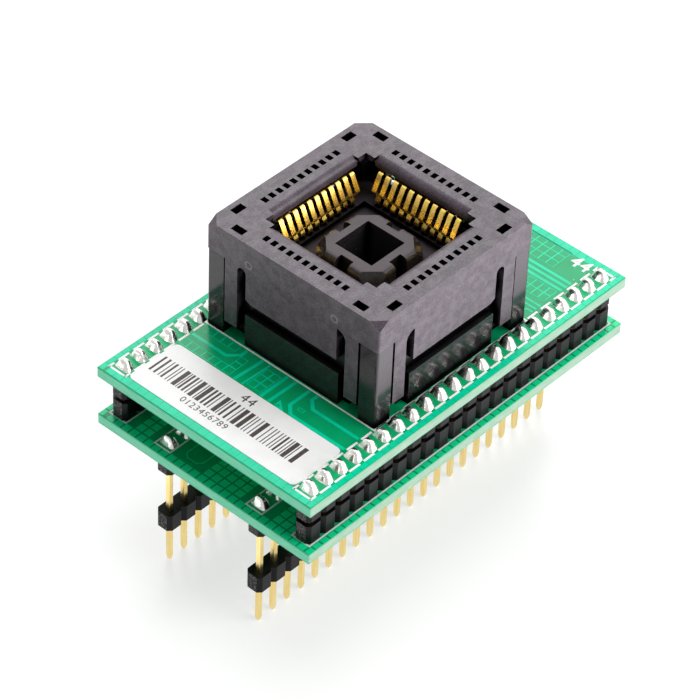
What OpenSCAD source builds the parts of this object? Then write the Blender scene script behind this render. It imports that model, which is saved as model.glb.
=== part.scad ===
// Programming adapter: an open-top socket for a 44-lead chip carrier on two stacked circuit boards.
// The lower board ends in two rows of pins that go into a programmer's zero-force socket.
// X runs along the pin rows, Y across them, Z up. The origin lies under the middle, at the pin tips.

/* [Boards] */
// Thickness of each circuit board
board_t = 1.6; // [1:0.1:2.4]
// Board beyond the end of the pin strips
board_end = 1.06; // [0.5:0.02:4]
// Board beyond the middle of the outer pin rows
board_side = 2.36; // [1.6:0.02:5]
// Gap between the socket and the solder joints of the outer rows
row_gap = 0.39; // [0.2:0.01:1]
// Radius of the board corners
board_corner_r = 0.4; // [0.2:0.1:1]

/* [Pin rows] */
// Pins in each row
row_pins = 22; // [14:1:24]
// Spacing of the pins in a row
pitch = 2.54; // [2.3:0.01:3]
// Side of the square pins
pin_w = 0.64; // [0.5:0.02:0.8]
// Width of a moulded pin strip
strip_w = 2.5; // [2:0.05:3]
// Depth of the notches between the segments of a strip
strip_notch = 0.5; // [0.2:0.05:0.7]
// Gap between a pin and the strip around it
strip_clear = 0.02; // [0.01:0.01:0.05]
// Gap between a pin's corners and its drilled hole
hole_clear = 0.05; // [0.03:0.01:0.15]
// Length of the tapered pin ends
taper_l = 0.6; // [0.3:0.1:1]
// Share of the width left at a pin's tapered end
taper_share = 0.45; // [0.3:0.05:0.8]

/* [Programmer pins] */
// Distance between the two rows that go into the programmer
dip_rows = 15.24; // [12:0.02:19]
// Bare pin below the spacer strip
dip_tip_l = 6; // [4:0.1:8]
// Height of the spacer strip on the pins
dip_spacer_h = 2.54; // [2:0.02:3]
// Bare pin between the spacer and the strip under the board
dip_bare_l = 6.92; // [3:0.02:9]
// Height of the strip under the board
dip_strip_h = 2.54; // [2:0.02:3]

/* [Board to board] */
// Height of the pin strip under the upper board
header_strip_h = 2.54; // [2:0.02:3]
// Open gap between the pin strip and the socket strip
plug_gap = 0.66; // [0.3:0.02:1.2]
// Height of the socket strip on the lower board
socket_strip_h = 2.8; // [2.6:0.05:4]
// Pin below the upper strip, gap included
plug_l = 3; // [2:0.1:3.2]
// Outer radius of a turned sleeve
sleeve_r = 0.75; // [0.65:0.05:0.9]
// Gap between a plug pin's corners and the sleeve bore
sleeve_clear = 0.03; // [0.02:0.01:0.08]
// Gap between a sleeve and the strip around it
sleeve_hole_clear = 0.02; // [0.01:0.01:0.05]
// Bore below the end of the plug pin
sleeve_spare = 0.2; // [0.1:0.05:0.4]
// Radius of a sleeve's solder tail
tail_r = 0.28; // [0.2:0.02:0.4]

/* [Solder] */
// Radius of a solder joint at the board
solder_r = 0.95; // [0.75:0.05:1]
// Radius of a solder joint at its top
solder_top_r = 0.5; // [0.5:0.02:0.7]
// Height of a solder joint
solder_h = 1.35; // [1:0.05:1.8]
// Pin above the board
pin_proud = 1.1; // [0.7:0.05:1.3]
// Radius of a solder joint on a contact tail
contact_solder_r = 0.58; // [0.5:0.01:0.6]

/* [Chip socket] */
// Width of the chip opening between its corner guides
opening_w = 17.9; // [17:0.1:20]
// Width of the top frame round the opening
frame_w = 4.95; // [4.6:0.05:6]
// Height of the raised cover above the board
cover_h = 16.35; // [15.5:0.05:19]
// Thickness of the cover's top
top_t = 1.3; // [1.2:0.05:1.6]
// Thickness of the cover's side walls and legs
wall_t = 1.1; // [0.9:0.05:1.3]
// Radius of the cover's upright corners
corner_r = 0.4; // [0.2:0.05:0.6]
// Width of the bevel on the cover's top corners
corner_cut = 1.6; // [0.8:0.05:1.8]
// Depth of that bevel down the corner
corner_cut_h = 1.1; // [0.6:0.05:1.15]
// Radius of the rounded rim of the opening
rim_r = 1; // [0.6:0.05:1.1]
// Set-back of the rim from the corner guides
rim_in = 0.13; // [0.05:0.01:0.3]
// Length of a corner guide along each side of the opening
guide_l = 1.45; // [1:0.05:2]
// Height of a corner guide
guide_h = 0.8; // [0.5:0.05:1]
// Undercut of a guide's ends
guide_taper = 0.45; // [0.2:0.05:0.8]
// Room behind the guides, under their edges
guide_room = 0.6; // [0.3:0.05:1]
// Travel of the cover when it is pressed
stroke = 1.7; // [1:0.05:2]

/* [Cover sides] */
// Width of the middle panel on each side
panel_w = 14.8; // [13:0.1:15.5]
// Reach of the panel below the frame
panel_drop = 4.9; // [4:0.05:6]
// Width of the bevel on a panel's lower corner away from the marked corner
panel_cut = 0.8; // [0.4:0.05:1.6]
// Height of that bevel
panel_cut_h = 0.4; // [0.2:0.05:0.8]
// Width of the slots beside the panel
slot_w = 1.4; // [1:0.05:1.8]
// Width of a snap leg
leg_w = 2.05; // [1.4:0.05:2.2]
// Gap between a leg and the corner pillar
slit_w = 0.25; // [0.15:0.01:0.4]
// Gap between a pressed leg and the board
leg_gap = 0.5; // [0.2:0.05:0.6]
// Depth of the hook inside a leg
hook_t = 0.45; // [0.25:0.05:0.6]
// Height of the hook
hook_h = 0.8; // [0.5:0.05:1]

/* [Cover windows] */
// Length of a small window along its row
window_l = 0.75; // [0.5:0.05:0.9]
// Width of a small window
window_w = 0.95; // [0.6:0.05:1.2]
// Distance from the opening to the middle of the window row
window_in = 2.55; // [2.2:0.05:2.9]
// Length of the hole above a leg
core_l = 1.85; // [1.2:0.05:1.9]
// Width of the hole above a leg
core_w = 1.1; // [0.8:0.05:1.4]
// Distance from the cover's side to the middle of that hole
core_in = 1.3; // [1.1:0.05:1.8]

/* [Socket base] */
// Gap between the cover's walls and the base inside them
slide_gap = 0.2; // [0.1:0.02:0.3]
// Thickness of the cover's lip round the corner pillars
lip_t = 0.2; // [0.2:0.02:0.4]
// Gap between that lip and a pillar
lip_gap = 0.06; // [0.05:0.01:0.12]
// Seam between the raised cover and the pillar tops
seam = 0.2; // [0.1:0.02:0.4]
// Room left above a pillar when the cover is pressed
pillar_room = 1.45; // [0.6:0.05:1.8]
// Gap left under the panels when the cover is pressed
stop_gap = 0.6; // [0.2:0.05:1]
// Set-back of the low outer walls from the cover's face
low_wall_in = 0.25; // [0.1:0.05:0.5]
// Gap between a low wall's end and the leg beside it
low_wall_gap = 1.15; // [0.4:0.05:1.6]
// Spread of a pillar's outer faces at its foot
pillar_spread = 0.2; // [0.05:0.01:0.24]
// Depth from the cover's top to the chip seat
seat_drop = 3.8; // [3.4:0.05:4.4]
// Width of the chip seat's flat top
seat_w = 8.8; // [8:0.1:9.6]
// Radius of the rounded edge of the seat
seat_r = 0.8; // [0.4:0.05:1]
// Bevel on the seat's corners
seat_corner = 1.3; // [0.8:0.05:1.6]
// Slope of that bevel, in degrees
seat_slope = 52; // [40:1:65]
// Width of the square hole through the seat
seat_hole_w = 5.95; // [5:0.05:6.4]
// Width of the notch in each side of the seat
notch_w = 2; // [1.4:0.05:2.6]
// Depth of that notch
notch_t = 1.2; // [0.8:0.05:1.4]
// Depth of the well below the contact comb
well_h = 0.6; // [0.3:0.1:1.6]
// Thickness of the base's floor
floor_t = 3; // [2:0.1:3.6]

/* [Contacts] */
// Contacts on each side of the chip
side_contacts = 11; // [5:1:11]
// Spacing of the contacts
contact_pitch = 1.27; // [1.2:0.01:1.4]
// Width of a contact strip
contact_w = 0.72; // [0.5:0.02:0.76]
// Thickness of a contact strip
contact_t = 0.22; // [0.15:0.01:0.26]
// Gap beside a contact in the comb
comb_clear = 0.07; // [0.04:0.01:0.1]
// Reach of the comb's slots inside the opening's edge
comb_in = 0.35; // [0.2:0.05:0.4]
// Thickness of the comb's wall round the well
comb_wall_t = 0.4; // [0.3:0.05:0.6]
// Gap between the contact tops and the raised cover
contact_gap = 0.3; // [0.2:0.05:0.5]
// Height of the upper finger
finger_h = 2.55; // [2:0.05:3]
// Drop from the finger's inner bend to the lower bump
bump_drop = 1.85; // [1.6:0.05:2.2]
// Drop from the bump to the top of the comb
comb_drop = 0.75; // [0.5:0.05:1.1]
// Reach of the finger inside the opening's edge
finger_in = 1.23; // [0.9:0.01:1.4]
// Reach of the lower bump inside the opening's edge
bump_in = 0.5; // [0.3:0.05:0.7]
// Distance from the opening's edge to the near row of tails
tail_near = 0.65; // [0.5:0.05:0.8]
// Distance from the near to the far row of tails
tail_step = 1.7; // [1.5:0.05:1.9]
// Tail below the upper board
tail_l = 1; // [0.6:0.1:1.4]
// Reach of the curled end outside the opening's edge
curl_out = 0.6; // [0.5:0.02:0.8]
// Drop from the contact tops to the curled end
curl_drop = 0.7; // [0.5:0.05:0.9]
// Reach of the top bend outside the opening's edge
top_out = 0.25; // [0.15:0.01:0.35]
// Rise of the top bend's corner before it is rounded
top_rise = 0.5; // [0.4:0.02:0.6]
// Reach of the knee between finger and bump outside the opening's edge
knee_out = 0.1; // [0:0.02:0.2]
// Drop of that knee below the middle between finger and bump
knee_drop = 0.1; // [0:0.02:0.2]
// Depth in the comb at which the stem turns upright
stem_drop = 1.3; // [1:0.05:1.6]

/* [Label] */
// Width of the sticker
label_w = 8.5; // [6:0.1:9]
// Gap between the sticker and the solder joints beside it
label_side = 0.59; // [0.3:0.01:4]
// Gap between the sticker and the end of the board
label_end = 1.3; // [0.5:0.05:2]
// Thickness of the sticker
label_t = 0.1; // [0.05:0.01:0.2]

/* [Hidden] */

$fn = 48;
// Overshoot of a cut past the face it opens
cut = 1;
quarter_turns = [0, 90, 180, 270];

// Socket widths, from the middle outwards
opening_half = opening_w / 2;
cover_half = opening_half + frame_w;
inner_half = cover_half - wall_t;
block_half = inner_half - slide_gap;
low_wall_half = cover_half - low_wall_in;
pillar_half = cover_half - lip_t - lip_gap;
leg_in = panel_w / 2 + slot_w;
leg_out = leg_in + leg_w;
pillar_in = leg_out + slit_w;
side_gap = slit_w / 2;
hook_half = inner_half - hook_t;
low_wall_end = leg_in - low_wall_gap;
well_half = opening_half - comb_in - comb_wall_t;

// Socket heights above the upper board
plate_z = cover_h - top_t;
pillar_h = plate_z - stroke - pillar_room;
skirt_z = pillar_h + seam;
panel_z = skirt_z - panel_drop;
low_wall_h = panel_z - stroke - stop_gap;
leg_z = stroke + leg_gap;
ledge_z = leg_z + hook_h + slide_gap;
seat_z = cover_h - seat_drop;
contact_z = plate_z - contact_gap;
apex_z = contact_z - finger_h;
bump_z = apex_z - bump_drop;
comb_z = bump_z - comb_drop;
well_z = comb_z - well_h;
seat_half = seat_w / 2 + seat_r;
tail_far = tail_near + tail_step;

// Board outline and heights above the pin tips
row_l = row_pins * pitch;
board_l = row_l + 2 * board_end;
header_half = cover_half + row_gap + solder_r;
board_w = 2 * (header_half + board_side);
dip_half = dip_rows / 2;
label_l = 2 * (header_half - solder_r - label_side);
spacer_z = dip_tip_l;
dip_strip_z = spacer_z + dip_spacer_h + dip_bare_l;
lower_z = dip_strip_z + dip_strip_h;
lower_top = lower_z + board_t;
header_strip_z = lower_top + socket_strip_h + plug_gap;
upper_z = header_strip_z + header_strip_h;
upper_top = upper_z + board_t;

// Holes and pins
pin_corner = pin_w / sqrt(2);
pin_hole_r = pin_corner + hole_clear;
tail_hole_r = tail_r + hole_clear;
sleeve_bore_r = pin_corner + sleeve_clear;
sleeve_depth = plug_l - plug_gap + sleeve_spare;
contact_hole_r = norm([contact_w, contact_t]) / 2 + hole_clear;

function along_row(i) = (i - (row_pins - 1) / 2) * pitch;
function along_side(i) = (i - (side_contacts - 1) / 2) * contact_pitch;
function tail_distance(i) = opening_half + (i % 2 == 0 ? tail_near : tail_far);
function unit(v) = v / norm(v);

// Points of an arc of radius r that rounds the corner b between a and c
function rounded_corner(a, b, c, r, steps = 6) =
    let (
        to_a = unit(a - b),
        to_c = unit(c - b),
        half = acos(to_a * to_c) / 2,
        middle = b + unit(to_a + to_c) * r / sin(half),
        from = b + to_a * r / tan(half) - middle,
        to = b + to_c * r / tan(half) - middle,
        start = atan2(from[1], from[0]),
        turn = atan2(from[0] * to[1] - from[1] * to[0], from * to)
    )
    [for (k = [0 : steps]) middle + r * [cos(start + turn * k / steps), sin(start + turn * k / steps)]];

// Middle line of a bent strip: its corners, each with the radius of its bend
function bent_line(corners, radii) = concat(
    [corners[0]],
    [for (k = [1 : len(corners) - 2])
        each rounded_corner(corners[k - 1], corners[k], corners[k + 1], radii[k - 1])],
    [corners[len(corners) - 1]]
);

// One face of a strip, at a distance d from its middle line
function strip_face(line, d) = [
    for (k = [0 : len(line) - 1])
        let (
            ahead = line[min(k + 1, len(line) - 1)],
            behind = line[max(k - 1, 0)],
            way = unit(ahead - behind)
        )
        line[k] + d * [-way[1], way[0]]
];

function backwards(list) = [for (k = [len(list) - 1 : -1 : 0]) list[k]];

// Bend radii along a contact: top, finger, knee, bump and stem
contact_bends = [0.36, 0.3, 0.25, 0.3, 0.6];

// Side view of a contact, outwards and upwards: curled end, finger, inner bend, knee, bump and stem
function contact_line(tail) = bent_line(
    [
        [opening_half + curl_out, contact_z - curl_drop],
        [opening_half + top_out, contact_z + top_rise],
        [opening_half - finger_in, apex_z],
        [opening_half + knee_out, (apex_z + bump_z) / 2 - knee_drop],
        [opening_half - bump_in, bump_z],
        [tail, comb_z - stem_drop],
        [tail, -board_t - tail_l]
    ],
    contact_bends
);

// Outline of a moulded strip of octagonal segments
function strip_edge() = [
    for (i = [0 : row_pins - 1])
        each [[along_row(i) - pitch / 2, strip_w / 2 - strip_notch],
              [along_row(i) - pitch / 2 + strip_notch, strip_w / 2],
              [along_row(i) + pitch / 2 - strip_notch, strip_w / 2],
              [along_row(i) + pitch / 2, strip_w / 2 - strip_notch]]
];

module at_row(y, z) {
    for (i = [0 : row_pins - 1])
        translate([along_row(i), y, z])
            children();
}

module strip_outline() {
    polygon(concat(strip_edge(), [for (p = backwards(strip_edge())) [p[0], -p[1]]]));
}

module pin_strip(y, z, h) {
    hole = pin_w + 2 * strip_clear;
    translate([0, y, z])
        linear_extrude(h)
            difference() {
                strip_outline();
                at_row(0, 0)
                    square(hole, center = true);
            }
}

module square_pin_side(l) {
    half = pin_w / 2;
    tip = half * taper_share;
    rotate([90, 0, 0])
        linear_extrude(pin_w, center = true)
            polygon([[-tip, 0], [tip, 0], [half, taper_l], [half, l], [-half, l], [-half, taper_l]]);
}

// Square pin that stands on its tapered end
module square_pin(l) {
    intersection() {
        square_pin_side(l);
        rotate([0, 0, 90])
            square_pin_side(l);
    }
}

// Tent of solder that covers the end of a square pin
module pin_solder() {
    difference() {
        cylinder(h = solder_h, r1 = solder_r, r2 = solder_top_r);
        translate([-pin_w / 2, -pin_w / 2, -cut])
            cube([pin_w, pin_w, pin_proud + cut]);
    }
}

module rounded_square(w, r) {
    square([w, w - 2 * r], center = true);
    square([w - 2 * r, w], center = true);
    for (x = [-1, 1], y = [-1, 1])
        translate([x, y] * (w / 2 - r))
            circle(r);
}

module board_plate(z) {
    translate([0, 0, z])
        linear_extrude(board_t)
            difference() {
                union() {
                    square([board_l, board_w - 2 * board_corner_r], center = true);
                    square([board_l - 2 * board_corner_r, board_w], center = true);
                    for (x = [-1, 1], y = [-1, 1])
                        translate([x * (board_l / 2 - board_corner_r), y * (board_w / 2 - board_corner_r)])
                            circle(board_corner_r);
                }
                children();
            }
}

module lower_board() {
    color("seagreen")
        board_plate(lower_z) {
            for (side = [-1, 1]) {
                at_row(side * dip_half, 0)
                    circle(pin_hole_r);
                at_row(side * header_half, 0)
                    circle(tail_hole_r);
            }
        }
}

module dip_pins(side) {
    color("gold")
        at_row(side * dip_half, 0)
            square_pin(lower_top + pin_proud);
}

module dip_strip(side) {
    color("#202022")
        pin_strip(side * dip_half, dip_strip_z, dip_strip_h);
}

module dip_spacer(side) {
    color("#202022")
        pin_strip(side * dip_half, spacer_z, dip_spacer_h);
}

module dip_solder(side) {
    color("silver")
        at_row(side * dip_half, lower_top)
            pin_solder();
}

module socket_strip(side) {
    color("#202022")
        translate([0, side * header_half, lower_top])
            linear_extrude(socket_strip_h)
                difference() {
                    strip_outline();
                    at_row(0, 0)
                        circle(sleeve_r + sleeve_hole_clear);
                }
}

// Turned sleeve with a blind bore and a thin tail for the solder
module sleeve() {
    rotate_extrude()
        polygon([
            [0, -board_t - tail_l],
            [tail_r, -board_t - tail_l],
            [tail_r, 0],
            [sleeve_r, 0],
            [sleeve_r, socket_strip_h],
            [sleeve_bore_r, socket_strip_h],
            [sleeve_bore_r, socket_strip_h - sleeve_depth],
            [0, socket_strip_h - sleeve_depth]
        ]);
}

module sleeves(side) {
    color("goldenrod")
        at_row(side * header_half, lower_top)
            sleeve();
}

// Solder fillet under a board, round a tail
module sleeve_solder(side) {
    color("silver")
        at_row(side * header_half, lower_z)
            rotate([180, 0, 0])
                difference() {
                    cylinder(h = tail_l, r1 = solder_r, r2 = solder_top_r);
                    translate([0, 0, -cut])
                        cylinder(h = tail_l + 2 * cut, r = tail_r);
                }
}

module upper_board() {
    color("seagreen")
        board_plate(upper_z) {
            for (side = [-1, 1])
                at_row(side * header_half, 0)
                    circle(pin_hole_r);
            for (turn = quarter_turns)
                rotate(turn)
                    for (i = [0 : side_contacts - 1])
                        translate([along_side(i), -tail_distance(i)])
                            circle(contact_hole_r);
        }
}

module header_strip(side) {
    color("#202022")
        pin_strip(side * header_half, header_strip_z, header_strip_h);
}

module header_pins(side) {
    color("gold")
        at_row(side * header_half, header_strip_z - plug_l)
            square_pin(plug_l + header_strip_h + board_t + pin_proud);
}

module header_solder(side) {
    color("silver")
        at_row(side * header_half, upper_top)
            pin_solder();
}

module label() {
    color("white")
        translate([label_end - board_l / 2, -label_l / 2, upper_top])
            cube([label_w, label_l, label_t]);
}

module contact(i) {
    line = contact_line(tail_distance(i));
    translate([along_side(i) - contact_w / 2, 0, upper_top])
        rotate([90, 0, -90])
            mirror([0, 0, 1])
                linear_extrude(contact_w)
                    polygon(concat(
                        strip_face(line, contact_t / 2),
                        backwards(strip_face(line, -contact_t / 2))
                    ));
}

// Row of contacts on one side of the chip, turned from the front row
module contacts(turn) {
    color("gold")
        rotate(turn)
            for (i = [0 : side_contacts - 1])
                contact(i);
}

module contact_solder() {
    color("silver")
        for (turn = quarter_turns)
            rotate(turn)
                for (i = [0 : side_contacts - 1])
                    translate([along_side(i), -tail_distance(i), upper_z - tail_l])
                        difference() {
                            cylinder(h = tail_l, r1 = contact_hole_r, r2 = contact_solder_r);
                            translate([-contact_w / 2, -contact_t / 2, -cut])
                                cube([contact_w, contact_t, tail_l + 2 * cut]);
                        }
}

// Material outside a rounded edge that runs along X: the part lies behind it and below it
module edge_round(y, z, r, l) {
    difference() {
        translate([-l / 2, y - cut, z - r])
            cube([l, r + cut, r + cut]);
        translate([0, y + r, z - r])
            rotate([0, 90, 0])
                cylinder(h = l + 2 * cut, r = r, center = true);
    }
}

// Seat pillar in the middle of the base, with rounded top edges, bevelled corners and a notch in each side
module chip_seat() {
    bevel_in = (seat_w - seat_corner) / sqrt(2);
    corner_in = (2 * seat_half - seat_corner) / sqrt(2);
    difference() {
        translate([-seat_half, -seat_half, well_z - cut / 2])
            cube([2 * seat_half, 2 * seat_half, seat_z - well_z + cut / 2]);
        for (turn = quarter_turns)
            rotate(turn) {
                edge_round(-seat_half, seat_z, seat_r, 2 * (seat_half + cut));
                translate([-notch_w / 2, -seat_half - cut, well_z])
                    cube([notch_w, notch_t + cut, seat_w]);
                rotate(45)
                    translate([-seat_w, -bevel_in, seat_z])
                        rotate([seat_slope, 0, 0])
                            translate([0, -seat_w, 0])
                                cube([2 * seat_w, seat_w, seat_w]);
                rotate(45)
                    translate([-seat_w, -corner_in - seat_w, well_z])
                        cube([2 * seat_w, seat_w, seat_w]);
            }
    }
}

// Slots of the comb that the contacts stand in, and the way of each tail through the floor
module comb_slots() {
    slot = contact_w + 2 * comb_clear;
    slot_out = tail_far + contact_t + comb_clear;
    for (turn = quarter_turns, i = [0 : side_contacts - 1])
        rotate(turn)
            translate([along_side(i), -opening_half, 0]) {
                translate([-slot / 2, -slot_out, floor_t])
                    cube([slot, slot_out + comb_in, comb_z]);
                translate([-slot / 2, opening_half - tail_distance(i) - contact_t / 2 - comb_clear, -cut])
                    cube([slot, contact_t + 2 * comb_clear, floor_t + 2 * cut]);
            }
}

// Side view of a corner pillar: straight where the cover's lip slides over it, and wider at its foot
module pillar_outline() {
    polygon([
        [pillar_in, 0],
        [pillar_half + pillar_spread, 0],
        [pillar_half, skirt_z - stroke - leg_gap],
        [pillar_half, pillar_h],
        [pillar_in, pillar_h]
    ]);
}

module corner_pillar() {
    reach = cover_half + cut;
    intersection() {
        translate([0, reach, 0])
            rotate([90, 0, 0])
                linear_extrude(reach)
                    pillar_outline();
        rotate([90, 0, 90])
            linear_extrude(reach)
                pillar_outline();
    }
}

module socket_base() {
    leg_room = pillar_in - leg_in + side_gap;
    color("#2a282c")
        translate([0, 0, upper_top])
            difference() {
                union() {
                    difference() {
                        translate([-block_half, -block_half, 0])
                            cube([2 * block_half, 2 * block_half, comb_z]);
                        translate([-well_half, -well_half, well_z])
                            cube([2 * well_half, 2 * well_half, comb_z]);
                    }
                    chip_seat();
                    for (turn = quarter_turns)
                        rotate(turn) {
                            translate([-low_wall_end, -low_wall_half, 0])
                                cube([2 * low_wall_end, low_wall_half, low_wall_h]);
                            corner_pillar();
                        }
                }
                for (turn = quarter_turns, side = [-1, 1])
                    rotate(turn)
                        translate([side * (pillar_in + leg_in - side_gap) / 2, -block_half - cut, 0])
                            translate([-leg_room / 2, 0, -cut])
                                cube([leg_room, cut + block_half - hook_half + slide_gap, ledge_z + cut]);
                comb_slots();
                translate([-seat_hole_w / 2, -seat_hole_w / 2, -cut])
                    cube([seat_hole_w, seat_hole_w, seat_z + 2 * cut]);
            }
}

// Slot beside a panel, seen square on. The pair at the marked corner has a quarter-round top.
module side_slot(marked) {
    h = skirt_z - leg_z + cut;
    r = marked ? slot_w : slot_w / 2;
    translate([0, leg_z - cut]) {
        square([slot_w, h - r]);
        translate([marked ? 0 : r, h - r])
            intersection() {
                circle(r);
                translate([-r, 0])
                    square([marked ? r + slot_w : 2 * r, r]);
                translate([marked ? 0 : -r, 0])
                    square([2 * r, r]);
            }
    }
}

// One side of the cover: a panel between two slots and two legs, grown up into the frame's wall.
// The panel's corner by a marked slot is square.
module cover_side_outline(marked_left, marked_right) {
    left_cut = marked_left ? 0 : panel_cut;
    right_cut = marked_right ? 0 : panel_cut;
    difference() {
        translate([-leg_out, leg_z])
            square([2 * leg_out, plate_z - leg_z]);
        polygon([
            [-leg_in, leg_z - cut],
            [leg_in, leg_z - cut],
            [leg_in, panel_z + panel_cut_h],
            [panel_w / 2, panel_z + panel_cut_h],
            [panel_w / 2 - right_cut, panel_z],
            [left_cut - panel_w / 2, panel_z],
            [-panel_w / 2, panel_z + panel_cut_h],
            [-leg_in, panel_z + panel_cut_h]
        ]);
        translate([panel_w / 2, 0])
            side_slot(marked_right);
        mirror([1, 0])
            translate([panel_w / 2, 0])
                side_slot(marked_left);
    }
}

module cover_side(marked_left, marked_right) {
    translate([0, -inner_half, 0])
        rotate([90, 0, 0])
            linear_extrude(wall_t)
                cover_side_outline(marked_left, marked_right);
    for (side = [-1, 1])
        translate([side * (leg_in + leg_out) / 2 - leg_w / 2, -inner_half - cut / 2, leg_z])
            cube([leg_w, hook_t + cut / 2, hook_h]);
}

// Chip opening with a rounded rim along each side, and room behind its corner guides
module chip_opening() {
    rim_half = opening_half + rim_in;
    room_half = rim_half + guide_room;
    room_in = opening_half - guide_l;
    translate([-rim_half, -rim_half, plate_z - cut])
        cube([2 * rim_half, 2 * rim_half, top_t + 2 * cut]);
    for (turn = quarter_turns)
        rotate(turn) {
            translate([0, -rim_half, cover_h])
                mirror([0, 1, 0])
                    edge_round(0, 0, rim_r, 2 * rim_half);
            translate([room_in, room_in, plate_z - cut])
                cube([room_half - room_in, room_half - room_in, top_t - guide_h + cut]);
        }
}

// One leg of a corner guide: a flat tooth along the opening's side, with an undercut end
module guide_leg() {
    translate([0, -opening_half, cover_h])
        rotate([90, 0, 0])
            linear_extrude(rim_in + rim_r + guide_room)
                polygon([
                    [opening_half - guide_l, 0],
                    [opening_half + rim_in + rim_r, 0],
                    [opening_half + rim_in + rim_r, -guide_h],
                    [opening_half - guide_l + guide_taper, -guide_h]
                ]);
}

module corner_guides() {
    for (turn = quarter_turns)
        rotate(turn) {
            guide_leg();
            mirror([1, 0, 0])
                guide_leg();
        }
}

module socket_cover() {
    corner_tilt = atan2(corner_cut_h * sqrt(2), corner_cut);
    pocket_in = leg_out + side_gap;
    pocket_w = cover_half - lip_t - pocket_in;
    color("#4a464c")
        translate([0, 0, upper_top]) {
            difference() {
                translate([0, 0, skirt_z])
                    linear_extrude(cover_h - skirt_z)
                        rounded_square(2 * cover_half, corner_r);
                translate([-inner_half, -inner_half, skirt_z - cut])
                    cube([2 * inner_half, 2 * inner_half, plate_z - skirt_z + cut]);
                chip_opening();
                for (turn = quarter_turns)
                    rotate(turn) {
                        translate([pocket_in, pocket_in, skirt_z - cut])
                            cube([pocket_w, pocket_w, plate_z - skirt_z + cut]);
                        translate([cover_half, cover_half, cover_h - corner_cut_h])
                            rotate([0, corner_tilt, 45])
                                translate([-frame_w, -frame_w, 0])
                                    cube(2 * frame_w);
                        for (i = [0 : side_contacts - 1])
                            translate([along_side(i), -opening_half - window_in, cover_h])
                                cube([window_l, window_w, 2 * (top_t + cut)], center = true);
                        for (side = [-1, 1])
                            translate([side * (leg_in + leg_out) / 2, core_in - cover_half, cover_h])
                                cube([core_l, core_w, 2 * (top_t + cut)], center = true);
                    }
            }
            corner_guides();
            cover_side(true, false);
            rotate(90)
                cover_side(false, false);
            rotate(180)
                cover_side(false, false);
            rotate(270)
                cover_side(false, true);
        }
}

lower_board();
dip_pins(-1);  // dip_pins_front
dip_pins(1);  // dip_pins_rear
dip_strip(-1);  // dip_strip_front
dip_strip(1);  // dip_strip_rear
dip_spacer(-1);  // dip_spacer_front
dip_spacer(1);  // dip_spacer_rear
dip_solder(-1);  // dip_solder_front
dip_solder(1);  // dip_solder_rear
socket_strip(-1);  // socket_strip_front
socket_strip(1);  // socket_strip_rear
sleeves(-1);  // sleeves_front
sleeves(1);  // sleeves_rear
sleeve_solder(-1);  // sleeve_solder_front
sleeve_solder(1);  // sleeve_solder_rear
upper_board();
header_strip(-1);  // header_strip_front
header_strip(1);  // header_strip_rear
header_pins(-1);  // header_pins_front
header_pins(1);  // header_pins_rear
header_solder(-1);  // header_solder_front
header_solder(1);  // header_solder_rear
label();
socket_base();
contacts(0);  // contacts_front
contacts(90);  // contacts_right
contacts(180);  // contacts_rear
contacts(270);  // contacts_left
contact_solder();
socket_cover();
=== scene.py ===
import random
from math import copysign, radians, tau

import bmesh
import bpy
from mathutils import Matrix, Vector


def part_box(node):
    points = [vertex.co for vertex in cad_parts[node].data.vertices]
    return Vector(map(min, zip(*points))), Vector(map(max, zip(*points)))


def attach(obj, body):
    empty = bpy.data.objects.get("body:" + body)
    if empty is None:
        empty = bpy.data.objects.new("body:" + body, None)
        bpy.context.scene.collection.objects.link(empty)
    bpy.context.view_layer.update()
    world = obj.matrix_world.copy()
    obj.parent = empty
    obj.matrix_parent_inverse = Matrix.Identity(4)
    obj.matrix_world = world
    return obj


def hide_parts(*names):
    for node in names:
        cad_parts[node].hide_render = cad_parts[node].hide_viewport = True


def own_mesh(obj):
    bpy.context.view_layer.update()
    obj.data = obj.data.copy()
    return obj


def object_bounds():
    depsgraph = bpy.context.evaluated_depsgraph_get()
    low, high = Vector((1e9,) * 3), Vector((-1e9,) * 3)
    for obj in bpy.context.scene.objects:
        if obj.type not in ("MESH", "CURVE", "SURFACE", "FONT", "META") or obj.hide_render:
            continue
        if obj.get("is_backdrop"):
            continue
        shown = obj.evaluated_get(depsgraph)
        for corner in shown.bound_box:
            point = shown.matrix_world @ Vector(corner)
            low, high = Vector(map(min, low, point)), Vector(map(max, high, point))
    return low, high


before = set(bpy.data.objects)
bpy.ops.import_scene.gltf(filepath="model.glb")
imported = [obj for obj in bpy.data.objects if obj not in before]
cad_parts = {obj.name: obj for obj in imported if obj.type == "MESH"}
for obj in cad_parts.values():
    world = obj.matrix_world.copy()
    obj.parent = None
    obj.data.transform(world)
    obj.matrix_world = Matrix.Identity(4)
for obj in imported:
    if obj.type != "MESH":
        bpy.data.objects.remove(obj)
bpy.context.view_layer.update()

# Lower board: 1.6 mm glass laminate under green solder mask, routed to size, so that its
# edges show pale cut glass. The programmer pins hang below it and the sockets stand on it.
mm = 0.001
scene = bpy.context.scene
chance = random.Random(44)
weld = 0.002
flat_angle = radians(0.5)
sharp_angle = radians(25)


def span(node):
    """Lowest and highest corner of a CAD node, in millimetres."""
    low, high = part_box(node)
    return low / mm, high / mm


def cad_copy(node):
    """A copy of a CAD node in millimetres, with whole flat faces and no doubled points."""
    bm = bmesh.new()
    bm.from_mesh(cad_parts[node].data)
    bmesh.ops.scale(bm, vec=Vector((1, 1, 1)) / mm, verts=bm.verts)
    bmesh.ops.remove_doubles(bm, verts=bm.verts, dist=weld)
    bmesh.ops.dissolve_limit(bm, angle_limit=flat_angle, verts=bm.verts, edges=bm.edges)
    return bm


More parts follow.
